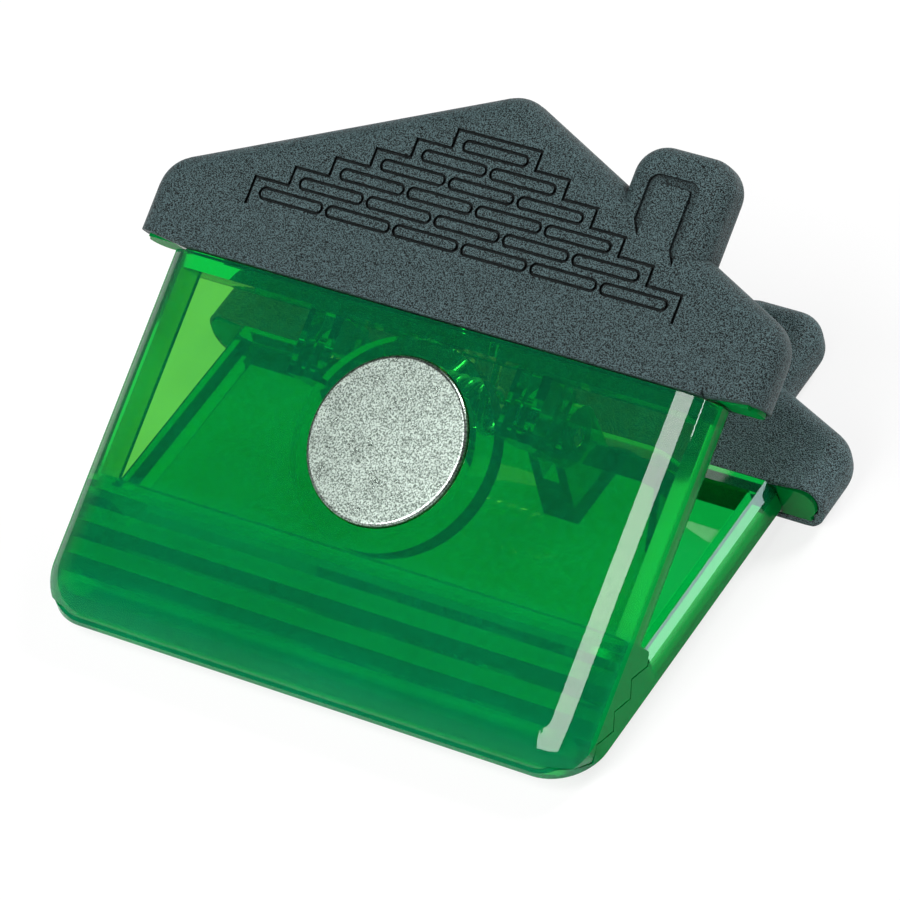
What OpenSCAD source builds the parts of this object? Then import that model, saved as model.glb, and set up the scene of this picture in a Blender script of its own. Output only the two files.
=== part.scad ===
// House-shaped memo clip: two mirrored translucent jaws on a sprung pin,
// a roof grip over each handle and a disc magnet in the rear jaw.
// Frame: the front jaw lies on the table, +X to the chimney side,
// +Y from the teeth to the ridge, +Z up. The origin is on the front
// jaw's outer face, opposite the middle of the magnet.

/* [Jaw] */
// width of a jaw across its side walls
body_w = 66.4; // [60:0.2:70]
// distance from the magnet's middle down to the gripping edge
jaw_low = 27.1; // [26:0.1:28.5]
// thickness of the face plate
face_t = 1.6; // [1.2:0.1:2]
// thickness of the side walls
side_wall = 2.1; // [2:0.1:2.4]
// height of the side walls from the outer face to the rim
rim_depth = 5.5; // [5:0.1:5.8]
// thickness of the wall under the roof
top_wall = 1.75; // [1.2:0.05:2]
// plan radius of the two lower corners
corner_r = 5.5; // [5:0.1:7]
// rounding of the outer face's edges
edge_r = 6.3; // [5.6:0.1:7]
// how far that rounding reaches in from the side
edge_w = 4.5; // [3.8:0.1:4.8]
// how far the bevel of a side wall's rim reaches in
bevel_w = 1.2; // [0.9:0.1:1.6]
// how far the handle's neck lies inside the jaw's sides
neck_in = 1.8; // [1.4:0.1:2.2]
// angle between the two jaws when the teeth are shut
jaw_angle = 28.5; // [27:0.25:30]
// depth of the closing plane under the magnet's middle
mid_depth = 8.9; // [8.6:0.1:10]

/* [Teeth] */
// number of saw teeth across the jaw's edge
teeth = 4; // [3:1:4]
// distance from tooth to tooth
tooth_pitch = 3.78; // [3.4:0.02:3.9]
// length of a tooth's long flank
tooth_flank = 2.45; // [2.2:0.05:2.7]
// height of a tooth
tooth_h = 1.6; // [1.2:0.1:1.8]
// free gap between the shut jaws
tooth_gap = 0.2; // [0.16:0.02:0.3]

/* [Hinge] */
// distance of the hinge pin above the magnet's middle
pivot_y = 7.5; // [7:0.1:8]
// diameter of the hinge pin
pin_d = 2; // [1.6:0.1:2.4]
// radial clearance of the pin in the rear ears
pin_clear = 0.05; // [0.03:0.01:0.08]
// radius of the ears' round ends
ear_r = 3.3; // [2.8:0.1:3.6]
// inner side of each pair of ears
ear_in = 10.5; // [10:0.1:12]
// width of a pair of ears
ear_w = 4.2; // [3.8:0.1:5]
// thickness of the rear jaw's middle ear
tongue_t = 1.7; // [1.4:0.1:2]
// lower end of the ears' foot
ear_low = 3.9; // [3:0.1:4.2]
// free gap between faces that turn past each other
turn_gap = 0.15; // [0.1:0.01:0.25]

/* [Magnet] */
// diameter of the magnet
magnet_d = 18; // [16:0.5:19]
// thickness of the magnet
magnet_t = 3; // [2.5:0.1:3.5]
// how far the magnet stands out of the rear face
magnet_proud = 0.5; // [0.2:0.1:0.8]
// gap round the magnet and under it
magnet_gap = 0.1; // [0.05:0.01:0.2]
// wall of the magnet's cup
cup_wall = 2.3; // [1.6:0.1:2.6]
// floor of the magnet's cup
cup_floor = 1.3; // [1:0.1:1.6]

/* [Roof grip] */
// width of the roof over the eaves
roof_w = 75.4; // [73:0.2:80]
// lower edge of the roof above the magnet's middle
roof_low = 13.3; // [13:0.1:14]
// height of the sharp ridge above the magnet's middle
ridge_y = 38.35; // [37:0.1:40]
// slope of the roof
roof_slope = 23.7; // [22:0.1:25]
// thickness of a grip
grip_t = 5.9; // [5.5:0.1:6.5]
// how far a grip stands out past the jaw's face
grip_proud = 0.54; // [0.4:0.02:0.7]
// wall of a grip round the handle
grip_wall = 1.25; // [1:0.05:1.4]
// rounding of the grip's edges
grip_r = 2.6; // [2:0.1:2.7]
// plan radius at the ridge and the eaves
roof_r = 4.2; // [3:0.1:5]
// left side of the chimney
chimney_x = 14.8; // [13.5:0.1:15.5]
// width of the chimney
chimney_w = 11.5; // [10.5:0.1:12]
// top of the chimney above the magnet's middle
chimney_top = 36.9; // [36:0.1:38]
// plan radius of the chimney's corners
chimney_r = 3.4; // [2.8:0.1:4]
// free gap between a handle and its grip
grip_gap = 0.15; // [0.1:0.01:0.2]
// rise of the grip's lower edge to the ends of the eaves
eave_rise = 0.7; // [0.4:0.1:0.8]
// thickness of the handle's lip under the eaves
eave_lip = 0.5; // [0.5:0.05:0.7]
// how far that lip lies inside the grip's outline
lip_in = 0.6; // [0.5:0.05:0.8]
// bevelled rounding of the grip's lower edge at the eaves
eave_bevel = 1.4; // [1:0.1:1.5]

/* [Brickwork] */
// courses of brick
courses = 6; // [4:1:6]
// distance from brick to brick
brick_pitch = 8.3; // [8.1:0.1:8.6]
// length of a brick on its groove's middle line
brick_l = 7.7; // [7.2:0.1:7.7]
// height of a brick on its groove's middle line
brick_h = 1.15; // [1:0.05:1.2]
// rise from course to course
course_h = 2.06; // [2:0.02:2.1]
// lower ends of the stepped line
step_low = 19.3; // [19:0.1:19.6]
// width of the engraved lines
line_w = 0.32; // [0.26:0.02:0.36]
// depth of the engraved lines
line_d = 0.35; // [0.2:0.05:0.45]
// width of the channel round the chimney's panel
channel_w = 0.95; // [0.7:0.05:1.1]

/* [Spring] */
// diameter of the spring wire
wire_d = 1; // [0.8:0.05:1.1]
// mean radius of the coil
coil_r = 2.3; // [2.1:0.05:2.5]
// distance from turn to turn
coil_pitch = 1.55; // [1.55:0.05:1.8]
// full turns between the two arms
coil_turns = 7; // [5:1:8]
// length of each arm
arm_l = 10; // [9:0.1:11]
// gap between an arm's end and the grip it pushes
seat_gap = 0.3; // [0.2:0.05:0.4]

/* [Hidden] */
$fn = 96;
half_a = jaw_angle / 2;
half_w = body_w / 2;
half_roof = roof_w / 2;
pivot_z = mid_depth + pivot_y * tan(half_a);
mid_d = mid_depth * cos(half_a);
body_top = roof_low - grip_gap;
block_h = rim_depth + 3;
slot_w = tongue_t + 2 * turn_gap;
cheek_t = (ear_w - slot_w) / 2;
ear_base = pivot_z - ear_r - 0.4;
eave_y = ridge_y - half_roof * tan(roof_slope);
chimney_low = roof_low + 6;
chimney_mid = chimney_x + chimney_w / 2;
grip_in = grip_t - grip_proud;
core_in = grip_wall + grip_gap;
core_z0 = core_in - grip_proud;
core_z1 = grip_in - core_in;
cup_z = magnet_t - magnet_proud + magnet_gap;
eave_x = half_w - neck_in + grip_gap;
eave_l = half_roof - eave_x;
lip_y = roof_low + eave_rise / 4;
lip_z = eave_bevel - grip_proud + grip_gap + 0.2;
lip_h = grip_in - lip_in - lip_z;

function unit(v) = v / norm(v);

// point at a distance along the closing plane and an offset past it
function mid_point(s, o) = [s * cos(half_a) - (mid_d + o) * sin(half_a),
                            s * sin(half_a) + (mid_d + o) * cos(half_a)];
tip_s = (mid_d * sin(half_a) - jaw_low) / cos(half_a);
first_s = tip_s + teeth * tooth_pitch - 0.35;
tooth_lo = -0.375 * tooth_h;
tooth_hi = 0.625 * tooth_h;

// saw line of one jaw in side view, from the rim to past the gripping edge
function saw_line(side) = [
    for (k = [0 : teeth - 1], e = [0, 1])
        mid_point(first_s - k * tooth_pitch - e * tooth_flank,
                  side * (e == 0 ? tooth_lo : tooth_hi) - tooth_gap / 2),
    mid_point(tip_s - 1.6, side * tooth_lo / 2 - tooth_gap / 2)
];
function block_top(side) = saw_line(side)[0][0] + (side > 0 ? 0.5 : 1.3);

// corner of an anticlockwise outline, moved inwards
function inset_corner(a, b, c, r) =
    let (u = unit(b - a), v = unit(c - b), s = u[0] * v[1] - u[1] * v[0])
    b + (r / s) * (v - u);

roof_line = [[half_roof, roof_low], [half_roof, eave_y], [0, ridge_y],
             [-half_roof, eave_y], [-half_roof, roof_low]];
roof_run = [[half_roof - roof_r, roof_low],
            for (i = [1 : 3])
                inset_corner(roof_line[i - 1], roof_line[i], roof_line[i + 1], roof_r),
            [roof_r - half_roof, roof_low]];
chimney_run = [[chimney_x + chimney_w - chimney_r, chimney_low],
               [chimney_x + chimney_w - chimney_r, chimney_top - chimney_r],
               [chimney_x + chimney_r, chimney_top - chimney_r],
               [chimney_x + chimney_r, chimney_low]];
jaw_run = [[corner_r - half_w, body_top],
           [corner_r - half_w, corner_r - jaw_low],
           [half_w - corner_r, corner_r - jaw_low],
           [half_w - corner_r, body_top]];

// spring path: front arm, coil, rear arm
arm_z = grip_in + seat_gap + wire_d / 2;
arm_a = atan2(coil_r, arm_l) + asin((arm_z - pivot_z) / norm([arm_l, coil_r]));
phi_0 = arm_a - 90;
phi_1 = 90 + jaw_angle - arm_a - 360 * coil_turns;
coil_n = ceil((phi_0 - phi_1) / 45);
coil_l = coil_pitch * (phi_0 - phi_1) / 360;
function coil_point(i) =
    let (t = i / coil_n, phi = phi_0 + (phi_1 - phi_0) * t)
    [coil_l * (t - 0.5), pivot_y + coil_r * cos(phi), pivot_z + coil_r * sin(phi)];
function arm_point(i, a, l) = coil_point(i) + l * [0, cos(a), sin(a)];
function spring_path(steps) = [
    for (k = [steps : -1 : 1]) arm_point(0, arm_a, arm_l * k / steps),
    for (i = [0 : coil_n]) coil_point(i),
    for (k = [1 : steps]) arm_point(coil_n, jaw_angle - arm_a, arm_l * k / steps)
];
function least_gap(p) = min([
    for (i = [0 : len(p) - 1], j = [i + 6 : len(p) - 1])
        if (j < len(p)) norm(p[i] - p[j])]) - wire_d;
echo(str("torsion_spring least gap to itself ", least_gap(spring_path(8)), " mm"));

// one ring of a tube round point i of a path that never runs along X
function tube_ring(p, i, r, n) =
    let (t = unit(p[min(i + 1, len(p) - 1)] - p[max(i - 1, 0)]),
         b = unit([1, 0, 0] - t[0] * t),
         c = cross(t, b))
    [for (k = [0 : n - 1]) p[i] + r * (cos(360 * k / n) * b + sin(360 * k / n) * c)];

module tube(p, r, n) {
    m = len(p);
    points = [for (i = [0 : m - 1]) each tube_ring(p, i, r, n)];
    sides = [for (i = [0 : m - 2], k = [0 : n - 1], h = [0, 1])
        let (a = i * n + k, b = i * n + (k + 1) % n)
        h == 0 ? [a, a + n, b + n] : [a, b + n, b]];
    ends = [for (k = [1 : n - 2], h = [0, 1])
        h == 0 ? [0, k, k + 1] : [(m - 1) * n, (m - 1) * n + k + 1, (m - 1) * n + k]];
    polyhedron(points, concat(sides, ends));
}

// section of a slab's edge: its reach, its thickness and the two roundings
module edge_section(reach, t, r0, r1) {
    intersection() {
        square([reach, t]);
        union() {
            square([reach - r0, t / 2]);
            translate([0, t / 2]) square([reach - r1, t / 2]);
            translate([0, r0]) square([reach, t - r0 - r1]);
            translate([reach - r0, r0]) circle(r0);
            translate([reach - r1, t - r1]) circle(r1);
        }
    }
}

// section of a jaw's edge, with a wide soft rounding to the face
module jaw_section(reach) {
    intersection() {
        square([reach, block_h]);
        union() {
            square([reach - edge_w, block_h]);
            translate([reach - edge_w, edge_r]) circle(edge_r);
        }
    }
}

// slab over an open run of inset corners, with the section of its edge as children:
// the first for the straight edges, the last for the corners
module edged_slab(run, t, shy) {
    last = len(run) - 1;
    over = shy > 0 ? 10 : 0;
    linear_extrude(t) polygon(mitred(run, 20 * shy));
    for (i = [1 : last]) {
        step = run[i] - run[i - 1];
        a = atan2(step[1], step[0]);
        translate([run[i][0], run[i][1], 0])
            rotate([90, 0, a - 90])
                linear_extrude(norm(step)) {
                    children(0);
                    translate([-0.5, 0]) square([0.5, t]);
                }
        if (i < last) {
            next = run[i + 1] - run[i];
            turn = atan2(step[0] * next[1] - step[1] * next[0], step * next);
            translate([run[i][0], run[i][1], 0])
                rotate([0, 0, a - 90 - over])
                    rotate_extrude(angle = turn + 2 * over) children($children - 1);
        }
    }
}

// runs moved outwards, with sharp corners and with flat ones
function outward(run, i) =
    let (u = unit(run[i] - run[i - 1])) [u[1], -u[0]];
function mitred(run, w) = [
    for (i = [0 : len(run) - 1])
        let (a = outward(run, max(i, 1)), b = outward(run, min(i + 1, len(run) - 1)))
        run[i] + w * (a + b) / (1 + a * b)
];
function flat_cornered(run, w) = [
    for (i = [1 : len(run) - 1], e = [1, 0]) run[i - e] + w * outward(run, i)
];

// outline of the handle inside a grip
module handle_outline(inset) {
    polygon(flat_cornered(roof_run, roof_r - inset));
    polygon(flat_cornered(chimney_run, chimney_r - inset));
}

// turns a side view, drawn along +Y and +Z, into a prism from x on
module side_prism(x, w) {
    translate([x, 0, 0]) rotate([90, 0, 90]) linear_extrude(w) children();
}

// puts a jaw's piece on the other side of the closing plane
module rear_place() {
    translate([0, pivot_y, pivot_z])
        rotate([jaw_angle, 0, 0])
            mirror([0, 0, 1])
                translate([0, -pivot_y, -pivot_z]) children();
}

module both_sides() {
    children();
    mirror([1, 0, 0]) children();
}

// rim and saw teeth of a jaw in side view
module rim_side(side) {
    polygon(concat([[-jaw_low - 2.5, -1], [body_top + 1, -1],
                    [body_top + 1, rim_depth], [block_top(side), rim_depth]],
                   saw_line(side)));
}

// what a side wall's bevelled rim leaves away, seen along the wall
module bevel_end() {
    polygon([[half_w + 1, 0.47 * rim_depth], [half_w, 0.47 * rim_depth],
             [half_w - 0.12 * bevel_w, 0.63 * rim_depth], [half_w - 0.42 * bevel_w, 0.8 * rim_depth],
             [half_w - bevel_w, rim_depth], [half_w - bevel_w, rim_depth + 1],
             [half_w + 1, rim_depth + 1]]);
}

// lip under an eave, seen from below, grown by w
module lip_end(w) {
    r = lip_h / 2 - 0.1 + w;
    start = eave_x + grip_gap - w;
    reach = half_roof - lip_in + w;
    h = lip_h + 2 * w;
    translate([0, lip_z - w]) {
        translate([start, 0]) square([reach - r - start, h]);
        translate([reach - r, r]) square([r, h - 2 * r]);
        for (z = [r, h - r]) translate([reach - r, z]) circle(r);
    }
}

// an ear in side view, from the face plate to the pin
module ear_side() {
    polygon([[ear_low, face_t - 0.3], [body_top - top_wall + 0.5, face_t - 0.3],
             [pivot_y + ear_r, pivot_z], [pivot_y - ear_r, pivot_z]]);
    translate([pivot_y, pivot_z]) circle(ear_r);
}

module ear_foot_side() {
    intersection() {
        ear_side();
        square([roof_low, ear_base]);
    }
}

// tray with the toothed block, the wall under the roof and the handle
module jaw_body(side) {
    difference() {
        intersection() {
            edged_slab(jaw_run, block_h, 0) jaw_section(corner_r);
            side_prism(-half_w - 1, body_w + 2) rim_side(side);
        }
        translate([side_wall - half_w, block_top(side), face_t])
            cube([body_w - 2 * side_wall, body_top - top_wall - block_top(side), block_h]);
        both_sides() translate([0, body_top + 1, 0]) rotate([90, 0, 0])
            linear_extrude(body_top + 1 - block_top(side)) bevel_end();
    }
    translate([0, 0, core_z0]) linear_extrude(core_z1 - core_z0) intersection() {
        handle_outline(core_in);
        translate([-half_roof, lip_y]) square([roof_w, ridge_y]);
    }
    both_sides() translate([0, lip_y + eave_lip, 0]) rotate([90, 0, 0])
        linear_extrude(eave_lip) lip_end(0);
    translate([neck_in - half_w, body_top - 0.5, core_z0])
        cube([body_w - 2 * neck_in, 2.5, core_z1 - core_z0]);
    both_sides() side_prism(ear_in, ear_w) ear_foot_side();
}

module pin_bore(r) {
    translate([-half_w, pivot_y, pivot_z]) rotate([0, 90, 0]) cylinder(r = r, h = body_w);
}

// stepped line round the courses, widened by w
module stair(w) {
    for (i = [0 : courses - 1]) {
        wide = brick_pitch * (courses - i) / 2 + 0.9 + w;
        translate([-wide, step_low])
            square([2 * wide, 3 + course_h * i + w]);
    }
}

module brick(w) {
    h = brick_h + w;
    l = brick_l + w;
    translate([(h - l) / 2, -h / 2]) square([l - h, h]);
    translate([(h - l) / 2, 0]) circle(h / 2);
    translate([(l - h) / 2, 0]) circle(h / 2);
}

module bricks() {
    for (i = [0 : courses - 1], j = [0 : courses - 1 - i])
        translate([brick_pitch * (j - (courses - 1 - i) / 2), step_low + 1.55 + course_h * i])
            difference() {
                brick(line_w);
                brick(-line_w);
            }
}

// upright panel with a round-cornered top
module panel(w, top, r) {
    translate([-w / 2, step_low]) square([w, top - r - step_low]);
    translate([r - w / 2, step_low]) square([w - 2 * r, top - step_low]);
    for (x = [r - w / 2, w / 2 - r]) translate([x, top - r]) circle(r);
}

module chimney_channel() {
    top = chimney_top - 3.3;
    w = chimney_w - 5.6;
    translate([chimney_mid, 0]) difference() {
        panel(w, top, 1.2);
        panel(w - 2 * channel_w, top - channel_w, 0.5);
        polygon([[-w, 0], [w, 0], [w / 2, step_low + 5.4], [w / 2 - channel_w, step_low + 7.1],
                 [channel_w - w / 2, step_low + 7.6], [-w / 2, step_low + 9.1]]);
    }
}

module engraving() {
    difference() {
        stair(line_w / 2);
        translate([0, -0.001]) stair(-line_w / 2);
    }
    bricks();
    chimney_channel();
}

// what the rounding under an eave leaves away, in side view
module eave_side() {
    e = eave_bevel;
    translate([roof_low, -grip_proud])
        polygon([[-1, -1], [0.7 * e, -1], [0.7 * e, 0], [0.3 * e, 0.15 * e],
                 [0.08 * e, 0.5 * e], [0, e], [-1, e]]);
}

// roof with a chimney, hollow for the handle, engraved on its outer face
module grip_body() {
    shy = 0.015;
    chimney_edge = grip_r - 0.2;
    difference() {
        translate([0, 0, -grip_proud]) {
            edged_slab(roof_run, grip_t, shy) {
                edge_section(roof_r, grip_t, grip_r, grip_r);
                translate([0, shy])
                    edge_section(roof_r - shy, grip_t - 2 * shy, grip_r - shy, grip_r - shy);
            }
            edged_slab(chimney_run, grip_t, 0)
                edge_section(chimney_r, grip_t, chimney_edge, chimney_edge);
        }
        translate([0, 0, grip_wall - grip_proud])
            linear_extrude(grip_t - 2 * grip_wall) handle_outline(grip_wall);
        translate([-eave_x, roof_low - 1, grip_wall - grip_proud])
            cube([2 * eave_x, 3, grip_t - 2 * grip_wall]);
        both_sides() {
            side_prism(eave_x, roof_w) eave_side();
            translate([eave_x, roof_low, -grip_proud - 1]) linear_extrude(grip_t + 2)
                polygon([[0, -1], [2 * eave_l, -1], [2 * eave_l, 2 * eave_rise], [0, 0]]);
            translate([0, lip_y + eave_lip + grip_gap, 0]) rotate([90, 0, 0])
                linear_extrude(eave_lip + 2) lip_end(grip_gap);
        }
        translate([0, 0, -grip_proud - 1]) linear_extrude(line_d + 1) engraving();
    }
}

module front_jaw() {
    color([0.1, 0.6, 0.25, 0.7]) difference() {
        union() {
            jaw_body(1);
            both_sides() for (x = [ear_in, ear_in + ear_w - cheek_t])
                side_prism(x, cheek_t) ear_side();
        }
        pin_bore(pin_d / 2);
    }
}

module rear_jaw() {
    color([0.1, 0.6, 0.25, 0.7]) rear_place() difference() {
        union() {
            jaw_body(-1);
            both_sides() side_prism(ear_in + cheek_t + turn_gap, tongue_t) ear_side();
            translate([0, 0, face_t / 2])
                cylinder(r = magnet_d / 2 + magnet_gap + cup_wall, h = cup_z + cup_floor - face_t / 2);
        }
        pin_bore(pin_d / 2 + pin_clear);
        translate([0, 0, -1]) cylinder(r = magnet_d / 2 + magnet_gap, h = cup_z + 1);
    }
}

module front_grip() {
    color([0.12, 0.13, 0.13]) grip_body();
}

module rear_grip() {
    color([0.12, 0.13, 0.13]) rear_place() grip_body();
}

module magnet_disc() {
    color([0.75, 0.76, 0.74]) rear_place() translate([0, 0, -magnet_proud])
        rotate_extrude() edge_section(magnet_d / 2, magnet_t, 0.4, 0.2);
}

module pivot_pin() {
    l = 2 * (ear_in + ear_w) - 0.2;
    color([0.7, 0.7, 0.72]) translate([-l / 2, pivot_y, pivot_z])
        rotate([0, 90, 0]) cylinder(r = pin_d / 2, h = l);
}

module torsion_spring() {
    color([0.6, 0.6, 0.62]) tube(spring_path(2), wire_d / 2, 6);
}

front_jaw();
rear_jaw();
front_grip();
rear_grip();
magnet_disc();
pivot_pin();
torsion_spring();
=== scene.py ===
import math

import bpy
from mathutils import Matrix, Vector


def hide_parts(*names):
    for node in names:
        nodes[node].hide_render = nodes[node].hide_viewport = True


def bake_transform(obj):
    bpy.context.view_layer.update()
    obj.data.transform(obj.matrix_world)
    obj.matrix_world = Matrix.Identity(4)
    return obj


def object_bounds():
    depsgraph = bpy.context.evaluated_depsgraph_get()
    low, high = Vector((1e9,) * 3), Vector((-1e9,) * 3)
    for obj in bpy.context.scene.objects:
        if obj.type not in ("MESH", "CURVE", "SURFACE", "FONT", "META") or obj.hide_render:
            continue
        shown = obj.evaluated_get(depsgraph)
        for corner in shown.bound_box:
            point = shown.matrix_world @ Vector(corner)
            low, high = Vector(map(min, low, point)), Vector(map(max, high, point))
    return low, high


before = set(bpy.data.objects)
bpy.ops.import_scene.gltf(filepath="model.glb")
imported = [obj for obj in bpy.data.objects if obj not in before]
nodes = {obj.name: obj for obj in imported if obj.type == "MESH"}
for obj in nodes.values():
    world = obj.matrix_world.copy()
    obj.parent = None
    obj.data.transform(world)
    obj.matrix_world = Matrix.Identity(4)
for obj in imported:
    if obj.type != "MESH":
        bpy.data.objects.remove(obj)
cad_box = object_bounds()
MM = 0.001
JAW_ANGLE = math.radians(28.5)  # the rear jaw's lean from the front one at rest
MID_DEPTH = 8.9  # mm up from the origin to the plane that mirrors one jaw in the other


# node helpers


def new_material(name):
    """An empty node material, its tree and its output node."""
    mat = bpy.data.materials.new(name)
    mat.use_nodes = True
    tree = mat.node_tree
    tree.nodes.clear()
    return mat, tree, tree.nodes.new("ShaderNodeOutputMaterial")


def feed(tree, socket, value):
    """Link another node's output to a socket, or set the socket to a value."""
    if isinstance(value, bpy.types.NodeSocket):
        tree.links.new(value, socket)
    else:
        socket.default_value = value


def add(tree, kind, **sockets):
    """A node of a kind, with its input sockets fed by name."""
    node = tree.nodes.new("ShaderNode" + kind)
    for name, value in sockets.items():
        feed(tree, node.inputs[name.replace("_", " ")], value)
    return node


def object_coord(tree):
    return add(tree, "TexCoord").outputs["Object"]


def noise(tree, coord, scale, detail=2.0, rough=0.5):
    """Noise with a number of grains per metre."""
    node = add(tree, "TexNoise", Vector=coord, Scale=scale, Detail=detail,
               Roughness=rough)
    return node.outputs["Fac"]


def ramp(tree, value, low, high, out_low, out_high):
    """Value from low to high, spread over out_low to out_high."""
    node = add(tree, "MapRange", Value=value, From_Min=low, From_Max=high,
               To_Min=out_low, To_Max=out_high)
    return node.outputs["Result"]


def mix_colour(tree, value, a, b):
    """Colour a turning into colour b as value goes from 0 to 1."""
    node = tree.nodes.new("ShaderNodeMix")
    node.data_type = "RGBA"
    tree.links.new(value, node.inputs["Factor"])
    node.inputs["A"].default_value = (*a, 1)
    node.inputs["B"].default_value = (*b, 1)
    return next(o for o in node.outputs if o.type == "RGBA")


def mix_shader(tree, share, a, b):
    """Shader a, with a share of it replaced by shader b."""
    node = add(tree, "MixShader", Fac=share)
    tree.links.new(a.outputs[0], node.inputs[1])
    tree.links.new(b.outputs[0], node.inputs[2])
    return node


def bump(tree, height, strength, distance, normal=None):
    node = add(tree, "Bump", Strength=strength, Distance=distance, Height=height)
    if normal is not None:
        tree.links.new(normal, node.inputs["Normal"])
    return node.outputs["Normal"]


def math_node(tree, operation, a, b=0):
    node = add(tree, "Math")
    node.operation = operation
    feed(tree, node.inputs[0], a)
    feed(tree, node.inputs[1], b)
    return node.outputs[0]


def along(tree, coord, direction, start=0):
    """Distance in mm along a direction, from a start."""
    node = add(tree, "VectorMath")
    node.operation = "DOT_PRODUCT"
    tree.links.new(coord, node.inputs[0])
    node.inputs[1].default_value = [v / MM for v in direction]
    return math_node(tree, "SUBTRACT", node.outputs["Value"], start)


# materials

# the parts of a noise's range that most and nearly all of it lie in
NOISE_SPAN = (0.35, 0.65)
WIDE_SPAN = (0.3, 0.7)

# Places on a jaw in mm, each from the start of a change to its end. Height goes up the
# outer face from the magnet's middle, or the point opposite it on the front jaw. Depth
# goes in from that face, and side goes out to either end.
BLOCK_TOP = (-11.2, -11.6)  # height of the tooth block's upper side
BLOCK_HAZE = (-10.5, -12.0)  # height of the first rise in the haze
LIP_HAZE = (-20.0, -25.0)  # height of the second, near the gripping edge
TEETH_DEPTH = (6.9, 7.5)  # depth of the teeth's roots
TEETH_SLOPE = 0.254  # rise of that depth with height
RIM_SIDE = (31.3, 31.4)  # side at which a wall's rim starts
RIM_DEPTH = (2.3, 2.6)  # depth at which it starts
BLOCK_ENDS = (32.4, 33.0)  # side of the tooth block's hazier ends
JAW_ENDS = (32.7, 33.0)  # side of the jaw's dense ends

FLOW_GRAINS, FINE_GRAINS = 70, 1500
FLOW_TINT = 0.06  # change of tint along the flow marks, either way
FLOW_BUMP, FLOW_STEP = 0.03, 0.4 * MM
GREEN_IOR = 1.58
GLOSS = (0.01, 0.03)
TEETH_FROST = 0.06
SKIN_HAZE = (0.12, 0.16)  # share of haze in the skin, before these three rises
BLOCK_RISE, LIP_RISE, END_RISE = 0.05, 0.09, 0.10
END_COVER = 0.75  # share of the dense green on the jaw's ends
LIT_THROUGH = 0.3  # share of the haze that is lit from behind
MILK = ((0.0, 0.59, 0.215), (0.0, 0.65, 0.255))
DENSE_GREEN = (0.0, 0.195, 0.031, 1)
BODY_GREEN = (0.0, 0.988, 0.90, 1)
BODY_DENSITY = 800.0


def green_plastic(name, clear, rim_frost, up, up_start, inward, in_start):
    """Clear green plastic with a hazy skin, lightly frosted teeth and dense ends."""
    mat, tree, out = new_material(name)

    def times(a, b):
        return math_node(tree, "MULTIPLY", a, b)

    def larger(a, b):
        return math_node(tree, "MAXIMUM", a, b)

    coord = object_coord(tree)
    flow = ramp(tree, noise(tree, coord, FLOW_GRAINS), *NOISE_SPAN, 0, 1)
    fine = noise(tree, coord, FINE_GRAINS)
    height = along(tree, coord, up, up_start)
    depth = along(tree, coord, inward, in_start)
    side = math_node(tree, "ABSOLUTE", along(tree, coord, (1, 0, 0)))
    inside = add(tree, "NewGeometry").outputs["Backfacing"]
    outside = math_node(tree, "SUBTRACT", 1, inside)

    block = ramp(tree, height, *BLOCK_TOP, 0, 1)
    past_root = math_node(tree, "SUBTRACT", depth, times(height, TEETH_SLOPE))
    teeth = times(block, ramp(tree, past_root, *TEETH_DEPTH, 0, 1))
    frost = times(teeth, TEETH_FROST)
    rim = times(ramp(tree, side, *RIM_SIDE, 0, rim_frost),
                ramp(tree, depth, *RIM_DEPTH, 0, 1))
    gloss = ramp(tree, fine, *NOISE_SPAN, *GLOSS)
    tint = mix_colour(tree, flow, [(1 - FLOW_TINT) * c for c in clear],
                      [(1 + FLOW_TINT) * c for c in clear])
    skin = add(tree, "BsdfPrincipled", IOR=GREEN_IOR, Transmission_Weight=1.0,
               Base_Color=tint, Roughness=larger(gloss, larger(frost, rim)),
               Normal=bump(tree, flow, FLOW_BUMP, FLOW_STEP))

    milk = mix_colour(tree, flow, *MILK)
    haze = mix_shader(tree, LIT_THROUGH, add(tree, "BsdfDiffuse", Color=milk),
                      add(tree, "BsdfTranslucent", Color=milk))
    cloud = ramp(tree, fine, *NOISE_SPAN, *SKIN_HAZE)
    for rise in (ramp(tree, height, *BLOCK_HAZE, 0, BLOCK_RISE),
                 ramp(tree, height, *LIP_HAZE, 0, LIP_RISE),
                 times(block, ramp(tree, side, *BLOCK_ENDS, 0, END_RISE))):
        cloud = math_node(tree, "ADD", cloud, rise)
    hazy = mix_shader(tree, larger(times(cloud, outside), frost), skin, haze)

    dense = add(tree, "BsdfDiffuse", Color=DENSE_GREEN)
    ends = times(ramp(tree, side, *JAW_ENDS, 0, END_COVER), outside)
    whole = mix_shader(tree, ends, hazy, dense)
    body = add(tree, "VolumeAbsorption", Density=BODY_DENSITY, Color=BODY_GREEN)
    tree.links.new(whole.outputs[0], out.inputs["Surface"])
    tree.links.new(body.outputs[0], out.inputs["Volume"])
    return mat


SPARK_GRAINS, BROAD_GRAINS = 7500, 160
# colour of the grain's pits, and also of the shade painted into grooves
BLACK_PITS_AND_SHADE = (0.001, 0.002, 0.002)
BLACK_PEAKS = (0.074, 0.120, 0.126)
BLACK_SPECULAR = 0.16
BLACK_ROUGH = (0.40, 0.50)
SPECK_SPAN = (0.40, 0.60)  # noise from the floor of a pit to the top of a peak
SPARK_STEP = 0.14 * MM
PAINTED_SHADE_REACH = 0.8 * MM  # how far a groove's walls reach in the occlusion node that paints shade
PAINTED_SHADE_SPAN = (0.45, 0.95)  # occlusion from a groove's floor, where the painted shade is darkest, to the open face
EDGE_EASE = 0.12 * MM


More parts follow.
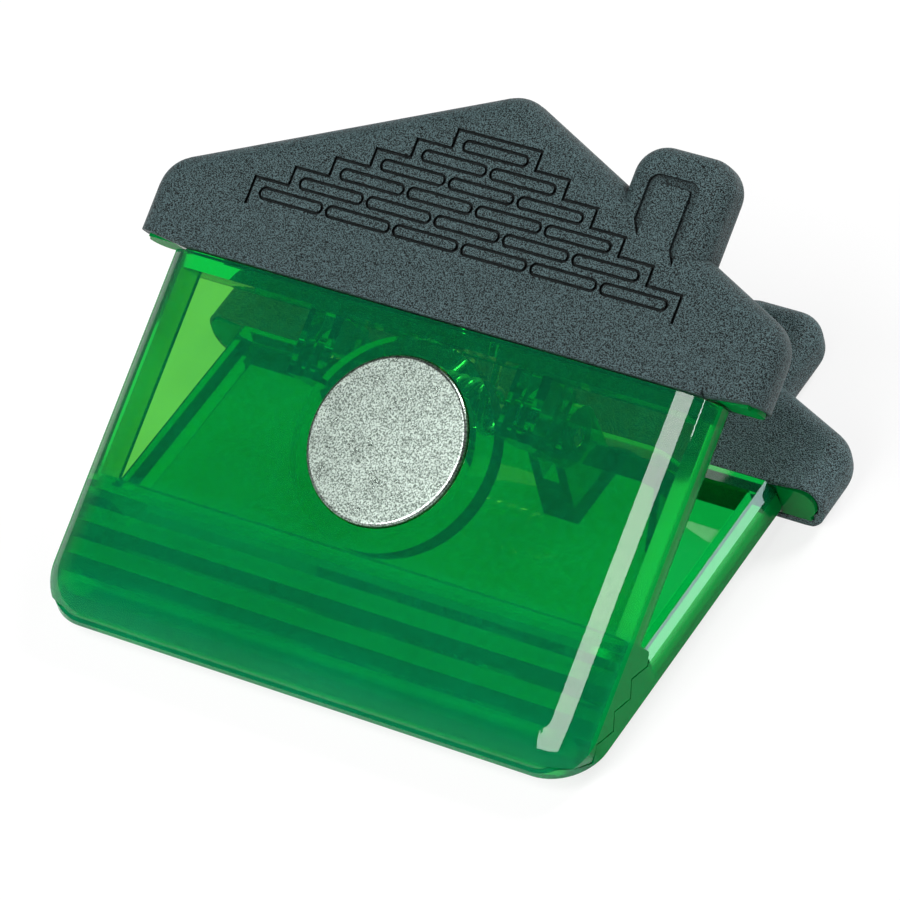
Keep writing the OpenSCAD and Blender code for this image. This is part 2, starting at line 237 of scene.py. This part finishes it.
def grained_black(name, shade):
    """Black plastic with a spark-eroded grain, painted shade in its grooves, and eased
    edges.
    """
    mat, tree, out = new_material(name)
    coord = object_coord(tree)
    grain = noise(tree, coord, SPARK_GRAINS, 1)
    broad = noise(tree, coord, BROAD_GRAINS, 3)
    # painted shade: an occlusion node darkens the colour in grooves and recesses
    shade_occlusion = add(tree, "AmbientOcclusion", Distance=PAINTED_SHADE_REACH)
    shade_occlusion.samples = 8
    shade_occlusion.only_local = True
    speck = ramp(tree, grain, *SPECK_SPAN, 0, 1)
    painted_groove_shade = ramp(tree, shade_occlusion.outputs["AO"], *PAINTED_SHADE_SPAN, 0, 1)
    # the grain's specks times the painted groove shade
    level = math_node(tree, "MULTIPLY", speck, painted_groove_shade)
    eased = add(tree, "Bevel", Radius=EDGE_EASE)
    eased.samples = 6
    # painted light where shade is above 1: it lifts the peaks' colour, for the far grip
    skin = add(tree, "BsdfPrincipled", IOR=1.5, Specular_IOR_Level=BLACK_SPECULAR,
               Base_Color=mix_colour(tree, level, BLACK_PITS_AND_SHADE,
                                     [shade * c for c in BLACK_PEAKS]),
               Roughness=ramp(tree, broad, *NOISE_SPAN, *BLACK_ROUGH),
               Normal=bump(tree, grain, 1.0, SPARK_STEP, eased.outputs["Normal"]))
    tree.links.new(skin.outputs[0], out.inputs["Surface"])
    return mat


GRIT_GRAINS, CLOUD_GRAINS = 5600, 700
PLATE_PITS = (0.11, 0.14, 0.12)
PLATE_PEAKS = (0.50, 0.59, 0.53)
PLATE_ROUGH = (0.26, 0.34)
GRIT_SPAN = (0.36, 0.64)
GRIT_BUMP, GRIT_STEP = 0.12, 0.02 * MM


def plated_magnet():
    """Nickel plate over a gritty sintered disc."""
    mat, tree, out = new_material("plated_magnet")
    coord = object_coord(tree)
    grit = noise(tree, coord, GRIT_GRAINS, 1)
    cloud = noise(tree, coord, CLOUD_GRAINS, 3)
    peaks = ramp(tree, grit, *GRIT_SPAN, 0, 1)
    skin = add(tree, "BsdfPrincipled", Metallic=1.0,
               Base_Color=mix_colour(tree, peaks, PLATE_PITS, PLATE_PEAKS),
               Roughness=ramp(tree, cloud, *WIDE_SPAN, *PLATE_ROUGH),
               Normal=bump(tree, grit, GRIT_BUMP, GRIT_STEP))
    tree.links.new(skin.outputs[0], out.inputs["Surface"])
    return mat


WIRE_GRAINS = 1800
STEEL_DARK = (0.42, 0.43, 0.44)
STEEL_LIGHT = (0.62, 0.63, 0.64)
STEEL_ROUGH = (0.22, 0.4)
MARK_BUMP, MARK_STEP = 0.2, 0.03 * MM


def drawn_steel():
    """Steel wire with fine marks from drawing."""
    mat, tree, out = new_material("drawn_steel")
    marks = noise(tree, object_coord(tree), WIRE_GRAINS, 4, 0.7)
    skin = add(tree, "BsdfPrincipled", Metallic=1.0,
               Base_Color=mix_colour(tree, marks, STEEL_DARK, STEEL_LIGHT),
               Roughness=ramp(tree, marks, *WIDE_SPAN, *STEEL_ROUGH),
               Normal=bump(tree, marks, MARK_BUMP, MARK_STEP))
    tree.links.new(skin.outputs[0], out.inputs["Surface"])
    return mat


def put(obj, mat):
    obj.data.materials.clear()
    obj.data.materials.append(mat)


# The two jaws are one plastic and the two grips another. The near jaw lets more red
# through and the far grip is painted lighter, to come closer to the photo; that lighter
# colour is painted light, standing in for light the far grip lacks in the near jaw's
# shadow.
FRONT_CLEAR = (0.016, 0.54, 0.085)
REAR_CLEAR = (0.48, 0.56, 0.06)
REAR_RIM_FROST = 0.2
FRONT_PAINTED_LIGHT = 1.5

rear_up = (0, math.cos(JAW_ANGLE), math.sin(JAW_ANGLE))
rear_in = (0, math.sin(JAW_ANGLE), -math.cos(JAW_ANGLE))
# the magnet's middle on the rear jaw's face, which mirrors the origin
half = JAW_ANGLE / 2
magnet_mid = 2 * MID_DEPTH * math.cos(half) * Vector((0, -math.sin(half), math.cos(half)))
green_front = green_plastic("green_front", FRONT_CLEAR, 0.0, (0, 1, 0), 0, (0, 0, 1), 0)
green_rear = green_plastic("green_rear", REAR_CLEAR, REAR_RIM_FROST,
                           rear_up, magnet_mid.dot(rear_up),
                           rear_in, magnet_mid.dot(rear_in))
steel = drawn_steel()
put(nodes["front_jaw"], green_front)
put(nodes["rear_jaw"], green_rear)
# painted light: the far grip's colour is lifted, standing in for light it lacks in shadow
put(nodes["front_grip"], grained_black("grained_black_front_painted_light", FRONT_PAINTED_LIGHT))
put(nodes["rear_grip"], grained_black("grained_black_rear", 1.0))
put(nodes["magnet_disc"], plated_magnet())
put(nodes["pivot_pin"], steel)


# the spring as round wire, and the pin clear of its bores

# sizes in mm, as in the part's source
PIVOT_Y = 7.5
COIL_R, COIL_TURNS, COIL_PITCH = 2.3, 7, 1.55
ARM_L = 10.0
ARM_Z = 6.16  # height at which the front arm ends
WIRE_R = 0.5

TURN_STEPS, ARM_STEPS, WIRE_SIDES = 36, 8, 20
STILL_END = 0.6  # length at each end of the coil left out of the span that wire_path returns
PIN_EASE = 0.01


def wire_path():
    """The wire's points in mm, front arm, coil, rear arm, and where the coil winds."""
    hub = Vector((0, PIVOT_Y, MID_DEPTH + PIVOT_Y * math.tan(JAW_ANGLE / 2)))
    arm_a = math.atan2(COIL_R, ARM_L)
    arm_a += math.asin((ARM_Z - hub.z) / math.hypot(ARM_L, COIL_R))
    first = arm_a - math.pi / 2
    last = math.pi / 2 + JAW_ANGLE - arm_a - 2 * math.pi * COIL_TURNS
    length = COIL_PITCH * (first - last) / (2 * math.pi)

    def coil(t):
        phi = first + (last - first) * t
        return hub + Vector((length * (t - 0.5), COIL_R * math.cos(phi),
                             COIL_R * math.sin(phi)))

    def arm(t, angle, k):
        heading = Vector((0, math.cos(angle), math.sin(angle)))
        return coil(t) + heading * ARM_L * k / ARM_STEPS

    steps = TURN_STEPS * COIL_TURNS
    points = [arm(0, arm_a, k) for k in range(ARM_STEPS, 0, -1)]
    points += [coil(i / steps) for i in range(steps + 1)]
    points += [arm(1, JAW_ANGLE - arm_a, k) for k in range(1, ARM_STEPS + 1)]
    reach = Vector((length / 2 - STILL_END, 0, 0))
    return points, hub - reach, hub + reach


def wire_mesh(name, points, radius, sides):
    """A round wire along points, with eased ends."""
    ease = 0.25 * radius
    ends = [(points[0], points[1]), (points[-1], points[-2])]
    caps = [p + (q - p).normalized() * ease for p, q in ends]
    rows = [(points[0], radius - ease), (caps[0], radius)]
    rows += [(p, radius) for p in points[1:-1]]
    rows += [(caps[1], radius), (points[-1], radius - ease)]
    last = len(rows) - 1
    verts, faces = [], []
    for i, (p, r) in enumerate(rows):
        t = (rows[min(i + 1, last)][0] - rows[max(i - 1, 0)][0]).normalized()
        b = (Vector((1, 0, 0)) - t * t.x).normalized()
        c = t.cross(b)
        for k in range(sides):
            a = 2 * math.pi * k / sides
            verts.append((p + (b * math.cos(a) + c * math.sin(a)) * r) * MM)
    for i in range(last):
        here, after = i * sides, (i + 1) * sides
        for k in range(sides):
            j = (k + 1) % sides
            faces.append((here + k, here + j, after + j, after + k))
    faces.append(tuple(reversed(range(sides))))
    faces.append(tuple(range(last * sides, len(rows) * sides)))
    mesh = bpy.data.meshes.new(name)
    mesh.from_pydata(verts, [], faces)
    mesh.validate()
    mesh.update()
    for f in mesh.polygons:
        f.use_smooth = len(f.vertices) == 4
    obj = bpy.data.objects.new(name, mesh)
    bpy.context.scene.collection.objects.link(obj)
    return obj


path, coil_start, coil_end = wire_path()
spring = wire_mesh("spring_wire", path, WIRE_R, WIRE_SIDES)
put(spring, steel)
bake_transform(spring)
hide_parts("torsion_spring")
shrink = nodes["pivot_pin"].modifiers.new("clear_of_bore", "DISPLACE")
shrink.mid_level = 0
shrink.strength = -PIN_EASE * MM


# floor, world, lamps and camera

FLOOR_SIZE = 8
FLOOR_GAP = 0.02  # mm under the part
PAPER = (0.9, 0.9, 0.9, 1)
SHADED = 0.2  # share of lit paper in the white that is shown, which keeps the shadow
SKY_Z = (0.2, 0.65)
SKY_LEVEL = (0.2, 0.04)

# the camera that fits the outlines in the photo: its aim, its distance from there, and
# in degrees how far round, how high and how much rolled it is
CAMERA_AIM = Vector((-1.4822, 5.5884, 5.2592)) * MM
CAMERA_AWAY = 613.365 * MM
CAMERA_ROUND, CAMERA_RISE, CAMERA_ROLL = -46.1862, 43.8824, -16.8109
CAMERA_LENS, CAMERA_SENSOR = 239.34, 36


def white_floor(z):
    """Paper, shown as the white background to the camera, in metal and in plastic."""
    bpy.ops.mesh.primitive_plane_add(size=FLOOR_SIZE, location=(0, 0, z))
    floor = bpy.context.object
    floor.name = "floor"
    mat, tree, out = new_material("white_floor")
    rays = add(tree, "LightPath").outputs
    paper = add(tree, "BsdfDiffuse", Color=PAPER)
    shown = mix_shader(tree, SHADED, add(tree, "Emission", Strength=1.0), paper)
    seen = math_node(tree, "MAXIMUM", rays["Is Camera Ray"], rays["Is Transmission Ray"])
    seen = math_node(tree, "MAXIMUM", seen, rays["Is Glossy Ray"])
    whole = mix_shader(tree, seen, paper, shown)
    tree.links.new(whole.outputs[0], out.inputs["Surface"])
    put(floor, mat)


def studio_world():
    """Pale grey round the horizon, darker overhead."""
    world = bpy.data.worlds.new("studio")
    bpy.context.scene.world = world
    world.use_nodes = True
    tree = world.node_tree
    tree.nodes.clear()
    split = add(tree, "SeparateXYZ")
    tree.links.new(add(tree, "TexCoord").outputs["Generated"], split.inputs[0])
    level = ramp(tree, split.outputs["Z"], *SKY_Z, *SKY_LEVEL)
    sky = add(tree, "Background", Color=(1, 1, 1, 1), Strength=level)
    out = tree.nodes.new("ShaderNodeOutputWorld")
    tree.links.new(sky.outputs[0], out.inputs["Surface"])


def stand(name, data, place, axes):
    """A lamp or camera at a place in metres, turned to three axes."""
    obj = bpy.data.objects.new(name, data)
    bpy.context.scene.collection.objects.link(obj)
    turn = Matrix(axes).transposed()
    obj.matrix_world = Matrix.Translation(place) @ turn.to_4x4()
    return obj


def lamp(name, place, size, watts, across, facing, colour=(1, 1, 1)):
    """A soft lamp, its width across, shining against facing, unseen through plastic."""
    data = bpy.data.lights.new(name, "AREA")
    data.shape = "RECTANGLE"
    data.size, data.size_y = size
    data.energy = watts
    data.color = colour
    z = Vector(facing).normalized()
    x = Vector(across)
    x = (x - z * x.dot(z)).normalized()
    stand(name, data, place, (x, z.cross(x), z)).visible_transmission = False


def camera():
    """A level camera, rolled about its line of sight."""
    turn, rise = math.radians(CAMERA_ROUND), math.radians(CAMERA_RISE)
    level = Vector((-math.sin(turn), math.cos(turn), 0))
    outward = Vector((math.cos(turn), math.sin(turn), 0))
    back = outward * math.cos(rise) + Vector((0, 0, math.sin(rise)))
    right = Matrix.Rotation(math.radians(CAMERA_ROLL), 3, back) @ level
    data = bpy.data.cameras.new("camera")
    data.sensor_width = CAMERA_SENSOR
    data.lens = CAMERA_LENS
    data.clip_start, data.clip_end = 0.01, 100
    place = CAMERA_AIM + back * CAMERA_AWAY
    obj = stand("camera", data, place, (right, back.cross(right), back))
    bpy.context.scene.camera = obj


white_floor(cad_box[0].z - FLOOR_GAP * MM)
studio_world()
lamp("key_softbox", (-0.084, -0.393, 0.488), (0.372, 0.535), 5.3,
     across=(1, 0, 0), facing=(0, -0.4772, 0.8788))
lamp("back_softbox", (-0.277, 0.339, 0.43), (0.056, 0.042), 0.014,
     across=(1, 0, 0), facing=(0, 0, 1))
lamp("fill_softbox", (0.21, 0.48, 0.39), (0.20, 0.18), 3.6,
     across=(1, 0, 0), facing=(0.33, 0.74, 0.585))
lamp("edge_card", (0.261, -0.139, 0.443), (0.016, 0.007), 0.005,
     across=(1, 0, 0), facing=(0.46, -0.29, 0.84))
lamp("low_strip", (0.454, 0.264, 0.06), (0.20, 0.03), 0.13,
     across=(-0.53, 0.84, 0), facing=(0.844, 0.528, 0.109), colour=(0.75, 0.95, 1.0))
camera()
bpy.context.scene.view_settings.view_transform = "Standard"
